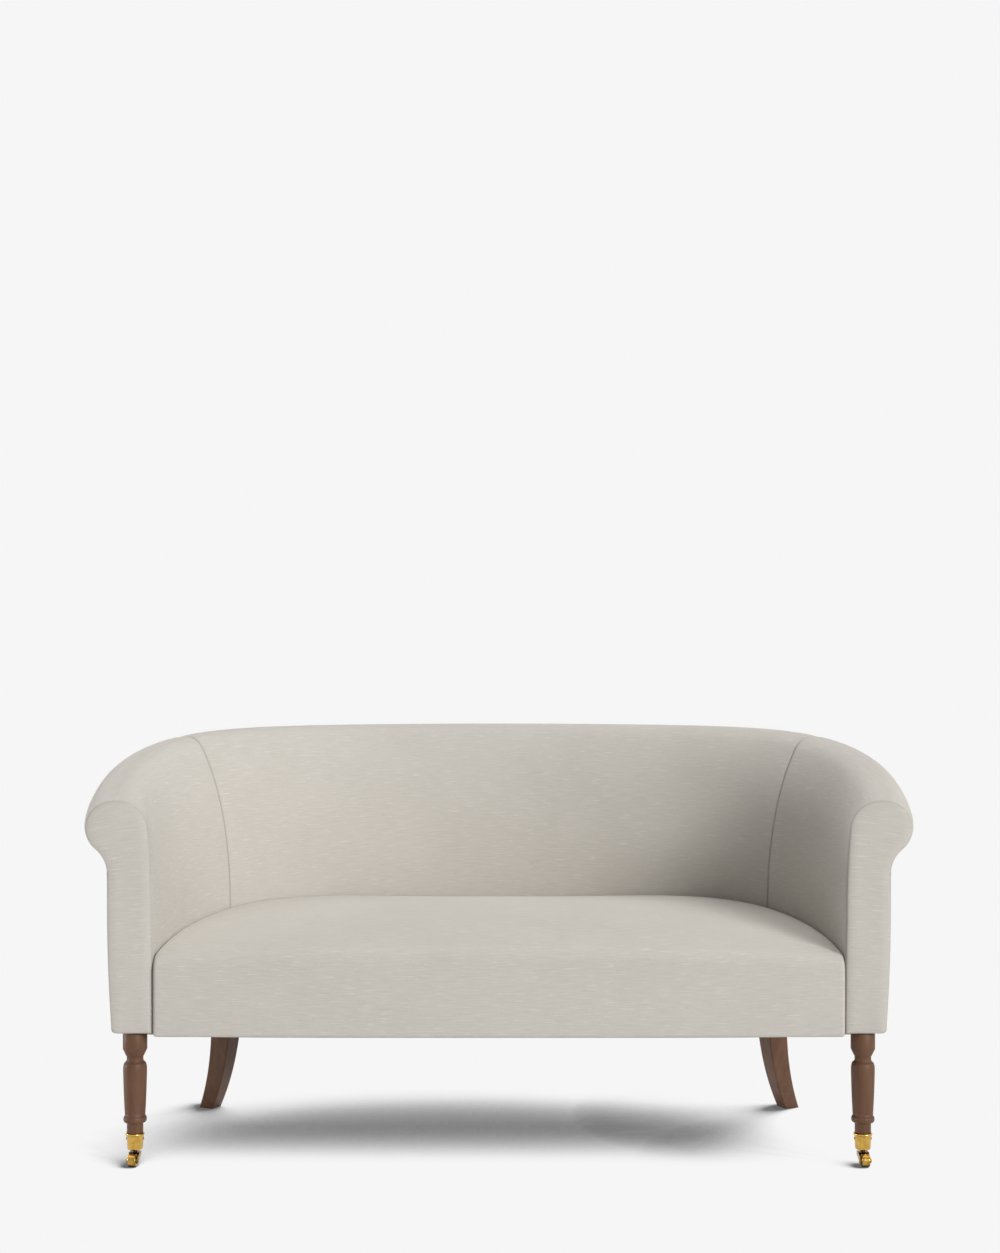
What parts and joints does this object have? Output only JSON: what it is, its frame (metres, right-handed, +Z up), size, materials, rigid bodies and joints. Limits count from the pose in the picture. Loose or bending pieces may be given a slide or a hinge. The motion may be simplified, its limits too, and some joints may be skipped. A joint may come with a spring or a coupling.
{
  "type": "curved sofa",
  "caption": "Curved upholstered sofa with scroll arms sweeping into a rolled back, a tight crowned seat, turned front legs on brass cup castors and swept rear legs.",
  "frame": {"origin": "centre of the footprint box, on the floor", "axes": "+X to the viewer's right, -Y out of the front of the seat, +Z up"},
  "size_m": [1.6322, 0.794, 0.8237],
  "materials": {
    "linen": "matte",
    "dust_cloth": "matte",
    "hessian": "matte",
    "foam": "matte",
    "lining_board": "matte",
    "leg_wood": "satin",
    "frame_wood": "matte",
    "steel": "satin",
    "brass": "polished"
  },
  "bodies": {
    "sofa": {"back_foam": "foam", "back_ribs": "frame_wood", "back_seat_rail": "frame_wood", "back_top_rail": "frame_wood", "castor_cup_screws": "brass", "dust_cover": "dust_cloth", "front_leg_bolts": "steel", "front_seat_rail": "frame_wood", "inside_back_cover": "linen", "left_arm_facing": "linen", "left_arm_foam": "foam", "left_arm_rib": "frame_wood", "left_arm_top_rail": "frame_wood", "left_castor_cup": "brass", "left_castor_pin": "brass", "left_facing_board": "lining_board", "left_front_leg": "leg_wood", "left_front_leg_block": "frame_wood", "left_inside_arm_cover": "linen", "left_outside_arm_cover": "linen", "left_outside_arm_lining": "lining_board", "left_rear_corner_post": "frame_wood", "left_rear_leg": "leg_wood", "left_scroll_board": "frame_wood", "left_side_seat_rail": "frame_wood", "outside_back_cover": "linen", "outside_back_lining": "lining_board", "rear_leg_bolts": "steel", "right_arm_facing": "linen", "right_arm_foam": "foam", "right_arm_rib": "frame_wood", "right_arm_top_rail": "frame_wood", "right_castor_cup": "brass", "right_castor_pin": "brass", "right_facing_board": "lining_board", "right_front_leg": "leg_wood", "right_front_leg_block": "frame_wood", "right_inside_arm_cover": "linen", "right_outside_arm_cover": "linen", "right_outside_arm_lining": "lining_board", "right_rear_corner_post": "frame_wood", "right_rear_leg": "leg_wood", "right_scroll_board": "frame_wood", "right_side_seat_rail": "frame_wood", "seat_border_pad": "foam", "seat_cover": "linen", "seat_cross_rails": "frame_wood", "seat_foam": "foam", "seat_springs": "steel", "spring_clips": "steel", "spring_hessian": "hessian"},
    "left_castor": {"left_castor_axle": "brass", "left_castor_fork": "brass"},
    "left_wheel": {"left_castor_wheel": "brass"},
    "right_castor": {"right_castor_axle": "brass", "right_castor_fork": "brass"},
    "right_wheel": {"right_castor_wheel": "brass"}
  },
  "joints": [
    {"name": "left_castor_swivel", "type": "hinge", "parent": "sofa", "child": "left_castor", "pos_m": [-0.707, -0.34248, 0.0255], "axis": [0, 0, 1], "continuous": true},
    {"name": "left_wheel_spin", "type": "hinge", "parent": "left_castor", "child": "left_wheel", "pos_m": [-0.70825, -0.36041, 0.0125], "axis": [0.9976, -0.0698, 0], "continuous": true},
    {"name": "right_castor_swivel", "type": "hinge", "parent": "sofa", "child": "right_castor", "pos_m": [0.707, -0.34248, 0.0255], "axis": [0, 0, 1], "continuous": true},
    {"name": "right_wheel_spin", "type": "hinge", "parent": "right_castor", "child": "right_wheel", "pos_m": [0.70825, -0.36041, 0.0125], "axis": [0.9976, 0.0698, 0], "continuous": true}
  ]
}
